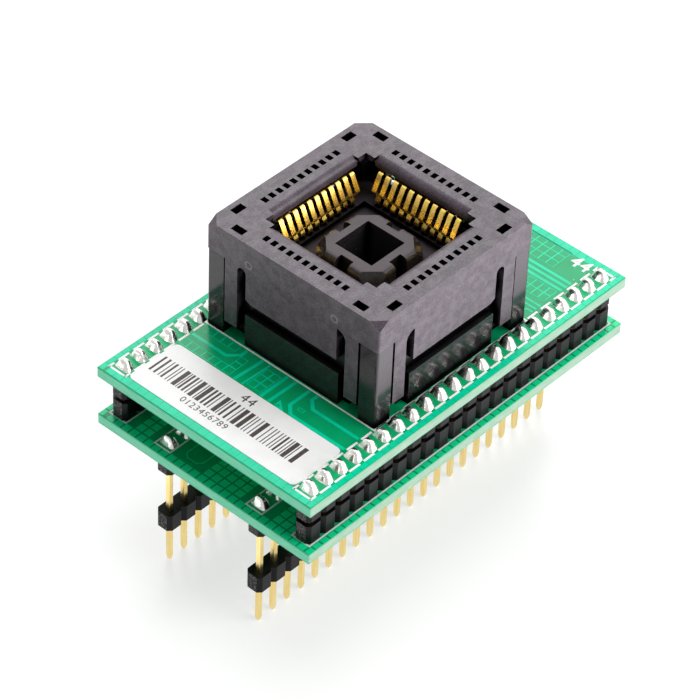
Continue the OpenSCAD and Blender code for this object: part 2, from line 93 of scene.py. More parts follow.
def soften(bm, width, chosen=lambda edge: True, steps=2):
    """Rounds the sharp edges, as a worn tool or a tumbling barrel leaves them."""
    sharp = [edge for edge in bm.edges
             if edge.is_manifold and edge.calc_face_angle() > sharp_angle and chosen(edge)]
    bmesh.ops.bevel(bm, geom=sharp, offset=width, offset_type="OFFSET", segments=steps, profile=0.5,
                    affect="EDGES", material=-1, clamp_overlap=True)


def raise_faces(bm, faces, height):
    """Gives flat faces a thickness upwards and keeps their undersides, so that they close."""
    made = bmesh.ops.extrude_face_region(bm, geom=faces, use_keep_orig=True)["geom"]
    lifted = [item for item in made if isinstance(item, bmesh.types.BMVert)]
    bmesh.ops.translate(bm, vec=(0, 0, height), verts=lifted)


def hatch(bm, low, counts, pitch, gap, z, height, squares=True):
    """Raised squares on a grid that starts at one corner, or else the lines between them."""
    size = Vector((counts[0] * pitch[0], counts[1] * pitch[1]))
    middle = Vector(low) + size / 2
    place = Matrix.Translation((*middle, z)) @ Matrix.Diagonal((*size, 1, 1))
    sheet = bmesh.ops.create_grid(bm, x_segments=counts[0], y_segments=counts[1], size=0.5, matrix=place)
    windows = list({face for vert in sheet["verts"] for face in vert.link_faces})
    lines = bmesh.ops.inset_individual(bm, faces=windows, thickness=gap / 2)["faces"]
    if squares:
        bmesh.ops.delete(bm, geom=lines, context="FACES")
        raise_faces(bm, windows, height)
    else:
        bmesh.ops.delete(bm, geom=windows, context="FACES_ONLY")
        raise_faces(bm, lines, height)


def ring(bm, half_x, half_y, line, z, height, middle_y=0.0):
    """A raised rectangle of one line width, about the board's middle or shifted across it."""
    hatch(bm, (-half_x, middle_y - half_y), (1, 1), (2 * half_x, 2 * half_y), 2 * line, z, height, False)


def run(bm, points, width, z, height):
    """A track of one width along corner points, mitred at its bends."""
    points = [Vector(point) for point in points]
    steps = [(after - before).normalized() for before, after in zip(points, points[1:])]
    pair = None
    ribbon = []
    for number, point in enumerate(points):
        before = steps[max(number - 1, 0)]
        after = steps[min(number, len(steps) - 1)]
        side = (before + after).normalized().orthogonal()
        reach = side * (width / 2 / side.dot(before.orthogonal()))
        ends = [(*(point + reach), z), (*(point - reach), z)]
        if pair is None:
            pair = [bm.verts.new(end) for end in ends]
            across = bm.edges.new(pair)
            continue
        start = pair[0].co.copy()
        made = bmesh.ops.extrude_edge_only(bm, edges=[across])["geom"]
        across = next(item for item in made if isinstance(item, bmesh.types.BMEdge))
        ribbon += [item for item in made if isinstance(item, bmesh.types.BMFace)]
        pair = sorted(across.verts, key=lambda vert: (vert.co - start).length)
        for vert, end in zip(pair, ends):
            vert.co = end
    raise_faces(bm, ribbon, height)


def piece(name, bm, body, look, stands_for=(), crease=0):
    """Finishes a mesh in millimetres as an object that rides on a body, flat faced or smooth to a crease."""
    bmesh.ops.recalc_face_normals(bm, faces=bm.faces)
    bmesh.ops.scale(bm, vec=(mm, mm, mm), verts=bm.verts)
    mesh = bpy.data.meshes.new(name)
    bm.to_mesh(mesh)
    bm.free()
    cad_normals = mesh.attributes.get("custom_normal")
    if cad_normals:
        mesh.attributes.remove(cad_normals)
    mesh.set_sharp_from_angle(angle=radians(crease))
    mesh.materials.append(look)
    made = bpy.data.objects.new(name, mesh)
    scene.collection.objects.link(made)
    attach(made, body)
    if stands_for:
        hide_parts(*stands_for)
    return made


class Field:
    """A value that changes over a surface: a node's output, whose sums add Math nodes."""

    def __init__(self, tree, socket=None):
        self.tree = tree
        self.socket = socket

    def node(self, kind, settings=None, inputs=None, output=0):
        """Adds a node: its settings come first, then the values or links of its sockets."""
        made = self.tree.nodes.new("ShaderNode" + kind)
        for name, value in (settings or {}).items():
            setattr(made, name, value)
        for name, value in (inputs or {}).items():
            if isinstance(value, Field):
                self.tree.links.new(value.socket, made.inputs[name])
            else:
                made.inputs[name].default_value = value
        return Field(self.tree, made.outputs[output])

    def math(self, operation, first, second=0.0):
        return self.node("Math", {"operation": operation}, {0: first, 1: second})

    def __add__(self, other):
        return self.math("ADD", self, other)

    __radd__ = __add__

    def __sub__(self, other):
        return self.math("SUBTRACT", self, other)

    def __rsub__(self, other):
        return self.math("SUBTRACT", other, self)

    def __mul__(self, other):
        return self.math("MULTIPLY", self, other)

    __rmul__ = __mul__

    def __gt__(self, other):
        return self.math("GREATER_THAN", self, other)

    def __lt__(self, other):
        return self.math("LESS_THAN", self, other)

    def __abs__(self):
        return self.math("ABSOLUTE", self)

    def ramp(self, low, high):
        """0 below low and 1 above high, with a smooth step between them."""
        return self.node("MapRange", {"interpolation_type": "SMOOTHSTEP"},
                         {"Value": self, "From Min": low, "From Max": high})

    def mix(self, plain, full):
        """A colour that goes from plain to full as this value goes from 0 to 1."""
        return self.node("Mix", {"data_type": "RGBA"}, {0: self, 6: plain, 7: full}, output=2)

    def stretched(self, x, y, z):
        return self.node("VectorMath", {"operation": "MULTIPLY"}, {0: self, 1: (x, y, z)})

    def dot(self, other):
        return self.node("VectorMath", {"operation": "DOT_PRODUCT"}, {0: self, 1: other}, "Value")

    def distance(self, other):
        return self.node("VectorMath", {"operation": "DISTANCE"}, {0: self, 1: other}, "Value")

    def along(self, axis):
        return self.node("SeparateXYZ", inputs={0: self}, output=axis)

    def noise(self, scale, detail=2.0):
        return self.node("TexNoise", inputs={"Vector": self, "Scale": scale, "Detail": detail})

    def specks(self, scale, radius, share):
        """Round specks, one in a cell of the pattern for this share of the cells."""
        cells = {"Vector": self, "Scale": scale}
        near = self.node("TexVoronoi", inputs=cells, output="Distance") < radius
        picked = self.node("TexVoronoi", inputs=cells, output="Color").along(0) < share
        return near * picked

    def bump(self, depth):
        return self.node("Bump", inputs={"Distance": depth * mm, "Height": self})

    def to(self, socket):
        """Feeds this value to a socket of the material's surface."""
        self.tree.links.new(self.socket, self.tree.nodes["Principled BSDF"].inputs[socket])


def shade(red, green, blue):
    """A colour given as it shows on a screen, from 0 to 255, as the shaders take it."""
    linear = [((value / 255 + 0.055) / 1.055) ** 2.4 if value > 10 else value / 255 / 12.92
              for value in (red, green, blue)]
    return (*linear, 1.0)


def new_finish(name, **plain_values):
    """A new material with these plain values, and the place on the piece in millimetres."""
    made = bpy.data.materials.new(name)
    made.use_nodes = True
    for socket, value in plain_values.items():
        made.node_tree.nodes["Principled BSDF"].inputs[socket.replace("_", " ")].default_value = value
    coordinates = Field(made.node_tree).node("TexCoord", output="Object")
    return made, coordinates.stretched(1 / mm, 1 / mm, 1 / mm)


def board_finish(name, middle, deep, pale):
    """Green solder mask on the faces, and layered pale laminate on the cut edges, whose end edges are
    painted brighter and greener as a painted glow of light through the laminate.
    """
    made, place = new_finish(name, IOR=1.5, Specular_IOR_Level=0.15)
    normal = place.node("NewGeometry", output="True Normal")
    facing = abs(normal.along(2)) > 0.5
    mask = place.noise(0.3, 4.0).ramp(0.3, 0.7).mix(deep, pale)
    mask = (place.specks(0.5, 0.04, 0.5) * 0.6).mix(mask, shade(214, 240, 226))
    ends = abs(normal.along(0)) > 0.5
    layers = place.stretched(0.5, 0.5, 9.0).noise(1.0, 3.0).ramp(0.35, 0.65)
    side_edge = layers.mix(shade(160, 196, 172), shade(184, 210, 190))
    # Painted glow: the end edges take a brighter, greener colour for light shining through the laminate.
    end_edge_painted_glow = layers.mix(shade(126, 246, 196), shade(156, 250, 212))
    edge = ends.mix(side_edge, end_edge_painted_glow)
    rim = abs(place.along(2) - middle).ramp(0.45, 0.78)
    edge = (rim * 0.75).mix(edge, shade(52, 196, 140))
    facing.mix(edge, mask).to("Base Color")
    (0.52 - facing * (0.34 - 0.1 * place.noise(0.8))).to("Roughness")
    place.noise(1.6, 3.0).bump(0.008).to("Normal")
    return made


def copper_finish(name, deep, pale):
    """Copper under the mask: it shows as a lighter green."""
    made, place = new_finish(name, IOR=1.5, Specular_IOR_Level=0.15)
    place.noise(0.5, 3.0).ramp(0.3, 0.7).mix(deep, pale).to("Base Color")
    (0.18 + 0.1 * place.noise(0.9)).to("Roughness")
    return made


def ink_finish(name, colour, worn):
    """Screen printed ink, thin in places."""
    made, place = new_finish(name, IOR=1.45, Roughness=0.55)
    place.noise(2.2, 4.0).ramp(0.3, 0.5).mix(worn, colour).to("Base Color")
    return made


lower_low, lower_high = span("lower_board")
lower_top = lower_high.z
board_edge = 0.12
rim_share = 0.97
corner_reach = 0.41
corner_weld = 0.01


def on_outline(edge):
    """True for an edge on a board's rim, away from its holes."""
    return all(max(abs(vert.co.x) / lower_high.x, abs(vert.co.y) / lower_high.y) > rim_share
               for vert in edge.verts)


def square_corners(bm):
    """Takes a board's corners out to the square, as they are where panels are snapped apart.

    The points of a corner are merged in triangles, because a face with holes would be lost.
    """
    for vert in bm.verts:
        if abs(vert.co.x) > lower_high.x - corner_reach and abs(vert.co.y) > lower_high.y - corner_reach:
            vert.co.x = copysign(lower_high.x, vert.co.x)
            vert.co.y = copysign(lower_high.y, vert.co.y)
    bmesh.ops.triangulate(bm, faces=bm.faces)
    bmesh.ops.remove_doubles(bm, verts=bm.verts, dist=corner_weld)
    bmesh.ops.dissolve_limit(bm, angle_limit=flat_angle, verts=bm.verts, edges=bm.edges)


bm = cad_copy("lower_board")
square_corners(bm)
soften(bm, board_edge, on_outline)
# The lower board's mask is painted lighter than the upper board's, making up for the shade the upper board
# casts on it.
piece("lower_board_laminate", bm, "base_board",
      board_finish("lower_mask", (lower_low.z + lower_high.z) / 2, shade(2, 172, 112), shade(4, 182, 120)),
      ["lower_board"])

pad_row_y = (span("header_pins_rear")[0].y + span("header_pins_rear")[1].y) / 2
dip_row_y = (span("dip_pins_rear")[0].y + span("dip_pins_rear")[1].y) / 2
row_half_width = 1.5
dip_half_width = 1.4
row_half_length = 28.0
print_line = 0.3
ink_height = 0.03
white_ink = ink_finish("board_ink", shade(251, 252, 251), shade(232, 242, 236))
bm = bmesh.new()
for side in (-1, 1):
    ring(bm, row_half_length, row_half_width, print_line, lower_top, ink_height, side * pad_row_y)
    ring(bm, row_half_length, dip_half_width, print_line, lower_top, ink_height, side * dip_row_y)
piece("lower_board_ink", bm, "base_board", white_ink)

tile_pitch = (1.291, 1.27)
tile_gap = 0.34
tiles_y = -0.175
rim_columns = 45
rim_rows = 26
copper_height = 0.018


def rim_tiles(bm, gap, z):
    """The row of copper squares along each edge of a board."""
    reach_x = lower_high.x - board_edge + gap / 2
    reach_y = lower_high.y - board_edge + gap / 2
    low_y = tiles_y - rim_rows // 2 * tile_pitch[1]
    for low_x in (-reach_x, reach_x - tile_pitch[0]):
        hatch(bm, (low_x, low_y), (1, rim_rows), tile_pitch, gap, z, copper_height)
    side_y = pad_row_y + row_half_width
    side_pitch = (2 * reach_x / rim_columns, reach_y - side_y)
    for low_y in (-reach_y, side_y):
        hatch(bm, (-reach_x, low_y), (rim_columns, 1), side_pitch, gap, z, copper_height)


tile_fields = ((-11, 4, 3), (-4, 6, 5), (8, 4, 2))
loop_width = 0.12
loop_points = ((-21.0, 4.9), (-26.4, 4.9), (-27.0, 4.3), (-27.0, 2.8), (-26.4, 2.2), (-21.0, 2.2))
bm = bmesh.new()
rim_tiles(bm, tile_gap, lower_top)
second_row = lower_high.x - board_edge + tile_gap / 2 - tile_pitch[0]
for first_row, columns, rows in tile_fields:
    low_y = tiles_y + first_row * tile_pitch[1]
    for low_x in (-second_row, second_row - columns * tile_pitch[0]):
        hatch(bm, (low_x, low_y), (columns, rows), tile_pitch, tile_gap, lower_top, copper_height)
run(bm, loop_points, loop_width, lower_top, copper_height)
# The lower copper is painted lighter than the upper board's as well, for the same shade.
piece("lower_board_copper", bm, "base_board",
      copper_finish("lower_copper", shade(20, 242, 166), shade(26, 248, 174)))

# Programmer pins: two rows of square gold plated posts, pressed through their plastic strips
# and soldered into the lower board. The long tails go into the programmer's socket.
pin_edge = 0.05
pin_showing = 0.7
pin_count = 22
pin_pitch = 2.54
blunt_tip = 1.5
cut_slack = 0.0001


def pin_places():
    """The places of a row's pins along the board."""
    return [(number - (pin_count - 1) / 2) * pin_pitch for number in range(pin_count)]


def cut_off(bm, z, outward):
    """Cuts a mesh off at a height, on its upper (1) or lower (-1) side, and closes the cut."""
    cut = bmesh.ops.bisect_plane(bm, geom=bm.verts[:] + bm.edges[:] + bm.faces[:], dist=cut_slack,
                                 plane_co=(0, 0, z), plane_no=(0, 0, outward), clear_outer=True)
    open_edges = [item for item in cut["geom_cut"] if isinstance(item, bmesh.types.BMEdge)]
    bmesh.ops.holes_fill(bm, edges=open_edges)


def gold_finish(name, pale, deep, smooth, rough, fold_shade_reach=None):
    """Gold plate with faint drawing marks along its length, with painted shade in its folds."""
    made, place = new_finish(name, Metallic=1.0)
    streaks = place.stretched(4.0, 4.0, 0.3).noise(1.0, 2.0).ramp(0.3, 0.7)
    colour = streaks.mix(pale, deep)
    if fold_shade_reach:
        # Painted shade: dark brown mixed in where an occlusion test finds the folds.
        painted_shade_ao = place.node("AmbientOcclusion", {"samples": 8}, {"Distance": fold_shade_reach * mm}, "AO")
        colour = painted_shade_ao.ramp(0.25, 0.75).mix(shade(52, 26, 4), colour)
    colour.to("Base Color")
    (smooth + (rough - smooth) * place.noise(1.3, 2.0)).to("Roughness")
    return made


pin_gold = gold_finish("pin_gold", shade(238, 216, 148), shade(228, 201, 126), smooth=0.22, rough=0.36)
for row, side in (("front", -1), ("rear", 1)):
    bm = cad_copy(f"dip_pins_{row}")
    for vert in [vert for vert in bm.verts if vert.co.z < pin_edge]:
        middle_x = min(pin_places(), key=lambda x: abs(x - vert.co.x))
        vert.co.x = middle_x + (vert.co.x - middle_x) * blunt_tip
        vert.co.y = side * dip_row_y + (vert.co.y - side * dip_row_y) * blunt_tip
    soften(bm, pin_edge)
    cut_off(bm, lower_top + pin_showing, 1)
    piece(f"programmer_pins_{row}", bm, "base_board", pin_gold, [f"dip_pins_{row}"])

# Pin strips and spacers: glass filled nylon moulded in cut-to-length segments, black and a little
# glossy. One strip holds each row of pins under the board and a second one near their tips.
strip_edge = 0.06


def strip_finish():
    """Black moulded nylon with a soft gloss, torn and speckled at its sawn ends."""
    made, place = new_finish("strip_nylon", IOR=1.5, Specular_IOR_Level=0.13)
    colour = place.noise(0.9, 4.0).ramp(0.3, 0.7).mix(shade(9, 9, 10), shade(17, 16, 18))
    ends = abs(place.node("NewGeometry", output="True Normal").along(0)) > 0.9
    colour = (ends * place.noise(4.5, 3.0).ramp(0.5, 0.62)).mix(colour, shade(104, 99, 100))
    colour.to("Base Color")
    (0.26 + 0.16 * place.noise(1.2, 3.0)).to("Roughness")
    place.noise(6.0, 2.0).bump(0.006).to("Normal")
    return made


strip_black = strip_finish()
for row in ("front", "rear"):
    for kind in ("strip", "spacer"):
        bm = cad_copy(f"dip_{kind}_{row}")
        soften(bm, strip_edge)
        piece(f"pin_{kind}_{row}", bm, "base_board", strip_black, [f"dip_{kind}_{row}"])

# Solder of the programmer pins: a drawn-up tent of tin alloy over each pin on the lower board's
# top. It wets the long pad and the pin, so that its sides are hollow.
joint_flank = ((1.0, 0.0), (0.95, 0.08), (0.86, 0.2), (0.77, 0.36), (0.66, 0.56), (0.53, 0.78),
               (0.36, 0.95))
joint_turns = 16
pad_half = Vector((0.8, 1.2))
pad_squareness = 0.55
joint_rise = (0.88, 1.0)
joint_lean = (0.12, 0.15)
joint_crease = 60
on_axis = 0.01
fine_weld = 0.001


def solder_finish():
    """Tin alloy, bright and a little uneven."""
    made, place = new_finish("solder", Metallic=1.0)
    place.noise(1.1, 3.0).ramp(0.3, 0.7).mix(shade(226, 224, 220), shade(244, 242, 238)).to("Base Color")
    (0.14 + 0.16 * place.noise(1.7, 3.0)).to("Roughness")
    place.noise(1.8, 2.0).bump(0.03).to("Normal")
    return made


def solder_row(row_y, base_z, height):
    """One joint for each pin of a row, none quite like the next."""
    bm = bmesh.new()
    for x in pin_places():
        rise = height * chance.uniform(*joint_rise)
        lean = Vector([chance.uniform(-most, most) for most in joint_lean] + [0])
        profile = [bm.verts.new((0, 0, 0))]
        profile += [bm.verts.new((out, 0, up)) for out, up in joint_flank]
        profile.append(bm.verts.new((0, 0, 1)))
        edges = [bm.edges.new(pair) for pair in zip(profile, profile[1:])]
        bmesh.ops.spin(bm, geom=profile + edges, cent=(0, 0, 0), axis=(0, 0, 1), angle=tau,
                       steps=joint_turns, use_merge=True)
        for vert in [vert for vert in bm.verts if not vert.tag]:
            flat = vert.co.xy
            widest = max(abs(flat.x), abs(flat.y))
            squarer = (flat.length / widest) ** pad_squareness if widest > on_axis else 1.0
            up = vert.co.z
            vert.co = Vector((flat.x * pad_half.x * squarer, flat.y * pad_half.y * squarer, up * rise))
            vert.co += lean * up + Vector((x, row_y, base_z))
            vert.tag = True
    bmesh.ops.remove_doubles(bm, verts=bm.verts, dist=fine_weld)
    return bm


solder_bright = solder_finish()
for row, side in (("front", -1), ("rear", 1)):
    low, high = span(f"dip_solder_{row}")
    bm = solder_row(side * dip_row_y, low.z, high.z - low.z)
    piece(f"programmer_joints_{row}", bm, "base_board", solder_bright, [f"dip_solder_{row}"],
          crease=joint_crease)

# Socket strips: black moulded strips on the lower board with a turned, gold plated sleeve for each
# pin of the upper board. The sleeves are pressed into the strips and soldered under the board.
sleeve_gold = gold_finish("sleeve_gold", shade(246, 214, 140), shade(226, 184, 98), smooth=0.2, rough=0.34)
for row in ("front", "rear"):
    low, high = span(f"socket_strip_{row}")
    middle = (low + high) / 2
    half = (high - low) / 2
    bm = cad_copy(f"socket_strip_{row}")
    soften(bm, strip_edge, lambda edge: all(max(abs(vert.co.x - middle.x) / half.x,
                                               abs(vert.co.y - middle.y) / half.y) > rim_share
                                           for vert in edge.verts))
    piece(f"board_socket_{row}", bm, "base_board", strip_black, [f"socket_strip_{row}"])
    for node, look in ((f"sleeves_{row}", sleeve_gold), (f"sleeve_solder_{row}", solder_bright)):
        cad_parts[node].data.materials.clear()
        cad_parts[node].data.materials.append(look)

# Upper board: the same laminate and mask as the lower one, in darker tones, as the lower board's mask and
# copper are painted lighter against the upper board's shade.
# It carries the chip socket, and its etched tracks and hatched copper show through the mask between the
# socket and the label.
upper_low, upper_high = span("upper_board")
upper_top = upper_high.z
bm = cad_copy("upper_board")
square_corners(bm)
soften(bm, board_edge, on_outline)
piece("upper_board_laminate", bm, "socket_board",
      board_finish("upper_mask", (upper_low.z + upper_high.z) / 2, shade(4, 163, 102), shade(8, 173, 112)),
      ["upper_board"])

pad_clear = 0.36
socket_frame_half = 14.05
number_height = 2.05
number_weight = 0.05
number_width = 0.94
number_corner = (26.0, -10.6, upper_top)
quarter_turn = Matrix.Rotation(radians(-90), 4, "Z")
figure_share = 0.73
figure_spacing = 1.12


def printed_row(bm, row_y, z):
    """The line round a row of pads, left open at each pad."""
    stops = [-row_half_length]
    for x in pin_places():
        stops += [x - pad_clear, x + pad_clear]
    stops.append(row_half_length)
    reach = row_half_width - print_line / 2
    for y in (row_y - reach, row_y + reach):
        for start, end in zip(stops[::2], stops[1::2]):
            run(bm, ((start, y), (end, y)), print_line, z, ink_height)
    for x in (print_line / 2 - row_half_length, row_half_length - print_line / 2):
        run(bm, ((x, row_y - reach), (x, row_y + reach)), print_line, z, ink_height)


def raised_number(bm, words, height, weight, place, thickness):
    """Plain figures in the built-in font, laid flat as thin ink."""
    letters = bpy.data.curves.new(words, "FONT")
    letters.body = words
    letters.size = height / figure_share
    letters.offset = weight
    letters.space_character = figure_spacing
    letters.resolution_u = 3
    written = bpy.data.objects.new(words, letters)
    mesh = bpy.data.meshes.new_from_object(written)
    figures = bmesh.new()
    figures.from_mesh(mesh)
    bmesh.ops.remove_doubles(figures, verts=figures.verts, dist=fine_weld)
    raise_faces(figures, list(figures.faces), thickness)
    bmesh.ops.transform(figures, matrix=place, verts=figures.verts)
    figures.to_mesh(mesh)
    figures.free()
    bm.from_mesh(mesh)
    bpy.data.meshes.remove(mesh)
    bpy.data.objects.remove(written)
    bpy.data.curves.remove(letters)


bm = bmesh.new()
for side in (-1, 1):
    printed_row(bm, side * pad_row_y, upper_top)
ring(bm, socket_frame_half, socket_frame_half, print_line, upper_top, ink_height)
number_shape = Matrix.Diagonal((number_width, 1, 1, 1))
number_place = Matrix.Translation(number_corner) @ quarter_turn @ number_shape
raised_number(bm, "44", number_height, number_weight, number_place, ink_height)
piece("upper_board_ink", bm, "socket_board", white_ink)

wide_track = 0.48
narrow_track = 0.3
wide_tracks = (
    ((-16.6, 13.6), (-16.6, 7.9), (-15.3, 6.6), (-14.2, 6.6)),
    ((-19.0, 4.3), (-14.2, 4.0)),
    ((-19.0, -0.1), (-14.2, -0.1)),
    ((-19.0, -1.4), (-14.2, -1.5)),
    ((-18.85, -13.6), (-18.85, -4.9), (-17.65, -3.7), (-14.2, -3.7)),
    ((-16.35, -13.6), (-16.35, -6.2), (-15.15, -5.0), (-14.2, -5.0)),
    ((23.1, -13.5), (23.1, 8.4), (20.4, 11.1), (14.2, 11.1)),
    ((22.2, -13.5), (22.2, 6.9), (19.6, 9.5), (14.2, 9.5)),
    ((21.3, -13.5), (21.3, 5.4), (18.8, 7.9), (14.2, 7.9)),
)
narrow_tracks = (
    ((-19.0, 3.0), (-14.2, 2.8)),
    ((-18.95, -2.45), (-18.1, -2.45), (-19.0, -3.55), (-18.95, -2.45)),
    ((17.2, -13.5), (17.2, -10.6), (15.9, -9.3), (14.2, -9.3)),
    ((16.4, -13.5), (16.4, -11.7), (15.4, -10.7), (14.2, -10.7)),
    ((15.7, -13.5), (15.7, -12.7), (14.9, -11.9), (14.2, -11.9)),
)
line_gap = 0.26
rim_gap = 0.08
line_fields = (
    ((-18.95, 5.2), (1, 7), (1.3, 1.22)),
    ((-17.65, 5.2), (2, 1), (1.1, 1.22)),
    ((-15.4, 7.6), (1, 4), (1.25, 1.3)),
    ((-18.6, 0.3), (3, 2), (1.25, 1.15)),
    ((-17.65, -5.8), (1, 1), (0.5, 1.0)),
    ((24.0, -9.8), (3, 16), (1.27, 1.27)),
    ((18.2, -13.2), (2, 4), (1.3, 1.1)),
)
bm = bmesh.new()
rim_tiles(bm, rim_gap, upper_top)
for tracks, width in ((wide_tracks, wide_track), (narrow_tracks, narrow_track)):
    for track in tracks:
        run(bm, track, width, upper_top, copper_height)
for low, counts, pitch in line_fields:
    hatch(bm, low, counts, pitch, line_gap, upper_top, copper_height, squares=False)
piece("upper_board_copper", bm, "socket_board",
      copper_finish("upper_copper", shade(4, 208, 160), shade(8, 218, 170)))

# Header strips, pins and their solder: square gold pins in black strips under the upper board plug
# into the sleeves. Their short ends come through the board and are soldered on its top.
for row, side in (("front", -1), ("rear", 1)):
    bm = cad_copy(f"header_strip_{row}")
    soften(bm, strip_edge)
    piece(f"board_header_{row}", bm, "socket_board", strip_black, [f"header_strip_{row}"])
    bm = cad_copy(f"header_pins_{row}")
    soften(bm, pin_edge)
    cut_off(bm, upper_top + pin_showing, 1)
    piece(f"board_pins_{row}", bm, "socket_board", pin_gold, [f"header_pins_{row}"])
    low, high = span(f"header_solder_{row}")
    bm = solder_row(side * pad_row_y, low.z, high.z - low.z)
    piece(f"board_joints_{row}", bm, "socket_board", solder_bright, [f"header_solder_{row}"],
          crease=joint_crease)

# Socket base: black glass filled plastic, moulded in one piece. Its low walls and corner pillars are
# polished. It stands on the board and is held by its soldered contacts.
base_edge = 0.1
corner_round = 0.35
corner_steps = 4
same_place = 0.005
pillar_middle = 10.9
pillar_outside = 13.6
pillar_face = 13.82
pillar_side = 11.05
pillar_head = 11.8
pillar_top = 12.06
comb_back = 12.3
comb_top = 9.6
back_wall = 0.3
back_wall_height = 0.8
back_wall_sunk = 0.1
# Reach of the painted shade that blackens the plastic's recesses.
painted_shade_reach = 1.5
worn_radius = 0.16
scar_radius = 0.62
dust_z = upper_top + 8.0


def plastic_finish(name, shine, tones, worn_pale, smooth, rough, grain_depth,
                   dusty=0.0, film=0.0, scars=()):
    """Dark filled plastic: mottled, scratched and worn pale on its edges, with painted shade that turns its
    recesses black.

    Dust lies on its upper faces, a film from handling glazes it in patches, and scars are rings rubbed
    into it.
    """
    made, place = new_finish(name, IOR=1.5, Specular_IOR_Level=shine, Coat_Roughness=rough)
    if film:
        (place.noise(0.8, 6.0).ramp(0.4, 0.62) * film).to("Coat Weight")
    grain = place.noise(4.0, 5.0)
    clouds = place.noise(0.45, 4.0)
    scratches = place.stretched(0.35, 5.0, 5.0).noise(1.0, 3.0).ramp(0.55, 0.75)
    colour = (0.55 * grain + 0.45 * clouds).ramp(0.35, 0.65).mix(*tones)
    colour = (scratches * 0.15 + place.specks(2.6, 0.16, 0.4) * 0.35).mix(colour, worn_pale)
    gloss = smooth + (rough - smooth) * clouds
    straight = place.node("NewGeometry", output="Normal")
    if dusty:
        dust = straight.along(2).ramp(0.8, 0.95) * place.along(2).ramp(dust_z, dust_z + 0.5) * dusty
        colour = (dust * (0.3 + 0.7 * clouds)).mix(colour, worn_pale)
        gloss = gloss + 0.5 * dust
    rounded = place.node("Bevel", {"samples": 4}, {"Radius": worn_radius * mm})
    worn = (1.0 - straight.dot(rounded)).ramp(0.01, 0.14) * place.noise(1.4, 4.0).ramp(0.35, 0.65)
    colour = (worn * 0.5).mix(colour, worn_pale)
    for scar in scars:
        ring_line = 1.0 - abs(place.distance(scar) + 0.3 * place.noise(2.5) - scar_radius).ramp(0.05, 0.2)
        colour = (ring_line * 0.7).mix(colour, worn_pale)
    colour.to("Base Color")
    gloss.to("Roughness")
    (grain + 2.0 * place.noise(1.3, 4.0)).bump(grain_depth).to("Normal")
    nodes = made.node_tree.nodes
    surface = Field(made.node_tree, nodes["Principled BSDF"].outputs[0])
    # Painted shade: an occlusion test mixes in near-black wherever the surface is recessed.
    painted_shade_ao = place.node("AmbientOcclusion", {"samples": 8}, {"Distance": painted_shade_reach * mm}, "AO")
    painted_shade_black = place.node("BsdfDiffuse", inputs={"Color": shade(5, 5, 5)})
    shown = place.node("MixShader", inputs={0: painted_shade_ao.ramp(0.6, 0.95), 1: painted_shade_black, 2: surface})
    made.node_tree.links.new(shown.socket, nodes["Material Output"].inputs["Surface"])
    return made


def upright_corner(reach):
    """Picks the upright edges at the four corners of a square of this half width."""
    def chosen(edge):
        return all(abs(abs(vert.co[axis]) - reach) < same_place for vert in edge.verts for axis in (0, 1))
    return chosen


bm = cad_copy("socket_base")
for vert in bm.verts:
    if min(abs(vert.co.x), abs(vert.co.y)) < pillar_middle:
        continue
    for axis in (0, 1):
        if abs(vert.co[axis]) > pillar_outside:
            vert.co[axis] = copysign(pillar_face, vert.co[axis])
        elif abs(vert.co[axis]) < pillar_side:
            vert.co[axis] = copysign(pillar_side, vert.co[axis])
    if vert.co.z > upper_top + pillar_head:
        vert.co.z = upper_top + pillar_top
soften(bm, corner_round, upright_corner(pillar_face), corner_steps)
soften(bm, base_edge)
ring(bm, comb_back, comb_back, back_wall, upper_top + comb_top - back_wall_sunk, back_wall_height)
base_black = plastic_finish("base_plastic", shine=0.28, tones=(shade(36, 34, 36), shade(46, 43, 46)),
                            worn_pale=shade(100, 90, 96), smooth=0.1, rough=0.18, grain_depth=0.0008,
                            dusty=0.7)
piece("chip_socket_base", bm, "socket_board", base_black, ["socket_base"])

# Contacts: stamped and bent copper alloy springs with gold plate, eleven on each side. The cover's
# frame bends their curled tops out of the way, and their tails are soldered under the board.
contact_edge = 0.03
contact_fold_shade_reach = 0.7
contact_crease = 30
bend_z = 36.0
contact_gold = gold_finish("contact_gold", shade(254, 220, 120), shade(250, 208, 98),
                           smooth=0.22, rough=0.32, fold_shade_reach=contact_fold_shade_reach)
for side in ("front", "rear", "left", "right"):
    for part, outward in (("tops", -1), ("stems", 1)):
        bm = cad_copy(f"contacts_{side}")
        soften(bm, contact_edge, steps=1)
        cut_off(bm, bend_z, outward)
        made = piece(f"contact_{part}_{side}", bm, "socket_board", contact_gold,
                     [f"contacts_{side}"], crease=contact_crease)
        if part == "tops":
            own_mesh(made)
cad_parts["contact_solder"].data.materials.clear()
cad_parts["contact_solder"].data.materials.append(solder_bright)

# Socket cover: the push-down frame, moulded in the same plastic with a fine spark-eroded grain.
# It slides down over the base on its legs, and its handled edges are worn pale.
cover_edge = 0.12
pocket_face = 13.7
lip_face = 13.85
lip_slack = 0.01
skirt_z = upper_top + 12.1
skirt_slack = 0.02
cover_scars = ((-13.9, 7.0, upper_top + 13.2), (-13.9, -6.9, upper_top + 13.3))
# The purple cast of the cover's tones is partly the plastic's own colour and partly a painted reflection of
# the purple-tinted floor glow.
cover_grey = plastic_finish("cover_plastic", shine=0.28, tones=(shade(59, 51, 59), shade(87, 75, 86)),
                            worn_pale=shade(138, 128, 136), smooth=0.26, rough=0.4, grain_depth=0.01,
                            film=0.26, scars=cover_scars)
bm = cad_copy("socket_cover")
for vert in bm.verts:
    for axis in (0, 1):
        on_pocket = abs(abs(vert.co[axis]) - pocket_face) < same_place
        if on_pocket and abs(vert.co[1 - axis]) < lip_face + lip_slack:
            vert.co[axis] = copysign(lip_face, vert.co[axis])


